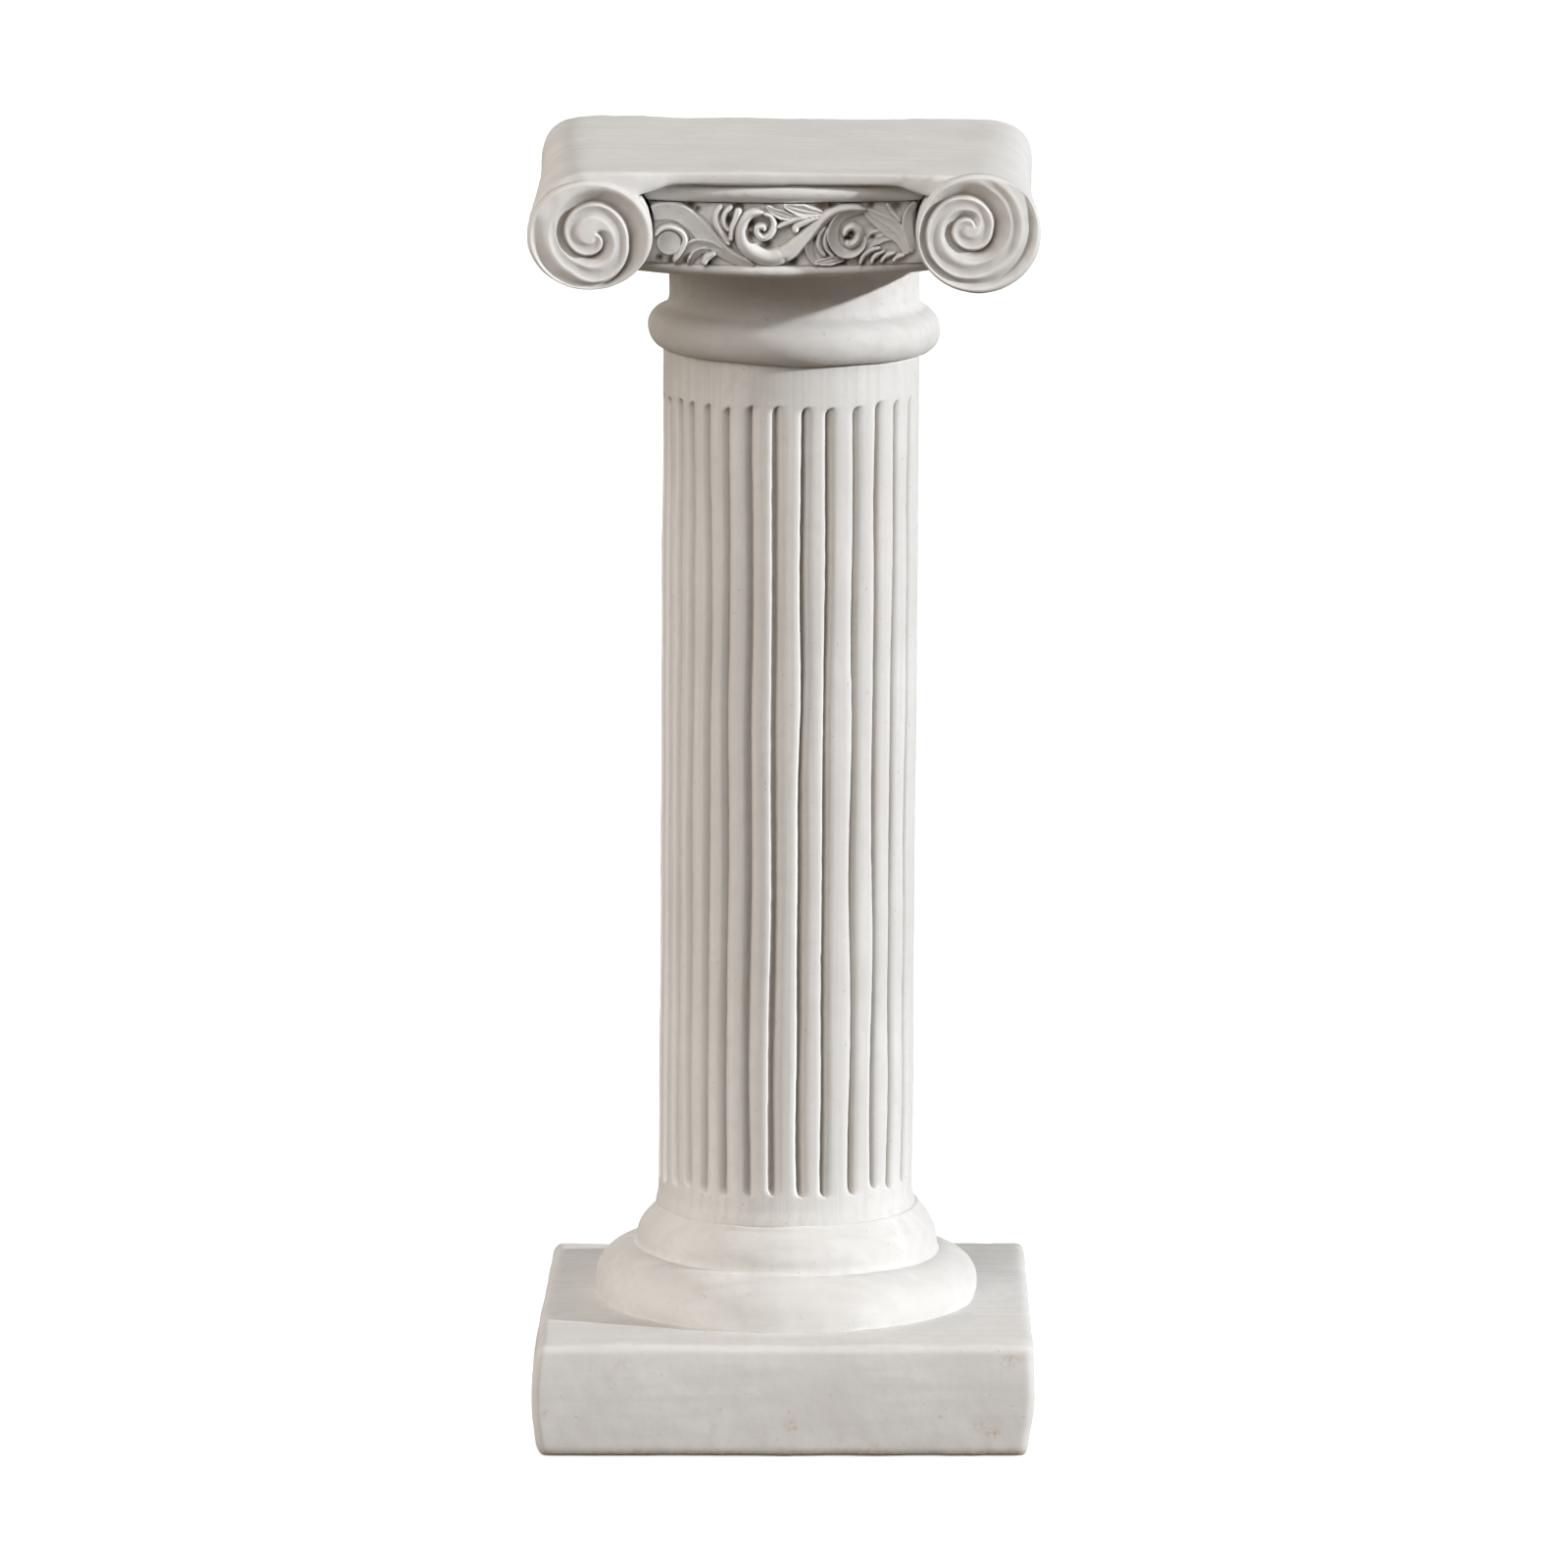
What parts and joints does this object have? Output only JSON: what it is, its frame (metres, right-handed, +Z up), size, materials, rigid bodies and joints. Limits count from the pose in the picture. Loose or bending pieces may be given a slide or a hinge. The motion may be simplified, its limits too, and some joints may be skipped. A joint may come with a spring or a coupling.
{
  "type": "pedestal column stand",
  "caption": "Small cast plaster Ionic column stand: square plinth, moulded base, fluted shaft, collar and scrolled capital with a flat top.",
  "frame": {"origin": "middle of the underside, on the surface the stand rests on", "axes": "+Z up along the column, -Y towards the front, +X to the right as seen from the front"},
  "size_m": [0.1008, 0.1008, 0.2572],
  "materials": {
    "plaster": "matte white cast plaster with small pinholes and brush marks",
    "steel": "zinc plated",
    "wood": "plain beech",
    "felt": "pressed grey felt"
  },
  "bodies": {
    "root": {"base_felt": "felt", "plinth": "plaster", "foot_washer": "steel", "foot_nut": "steel", "tie_rod": "steel", "lower_torus": "plaster", "upper_torus": "plaster", "fluted_shaft": "plaster", "shaft_plug_bottom": "wood", "shaft_plug_top": "wood", "neck_collar": "plaster", "capital_drum": "plaster", "cap_washer": "steel", "cap_nut": "steel", "abacus_block": "plaster", "base_pin_left": "steel", "base_pin_right": "steel", "cap_pin_left": "steel", "cap_pin_right": "steel", "frieze_front": "plaster", "frieze_back": "plaster", "scroll_front_left": "plaster", "scroll_front_right": "plaster", "scroll_back_right": "plaster", "scroll_back_left": "plaster"}
  },
  "joints": []
}
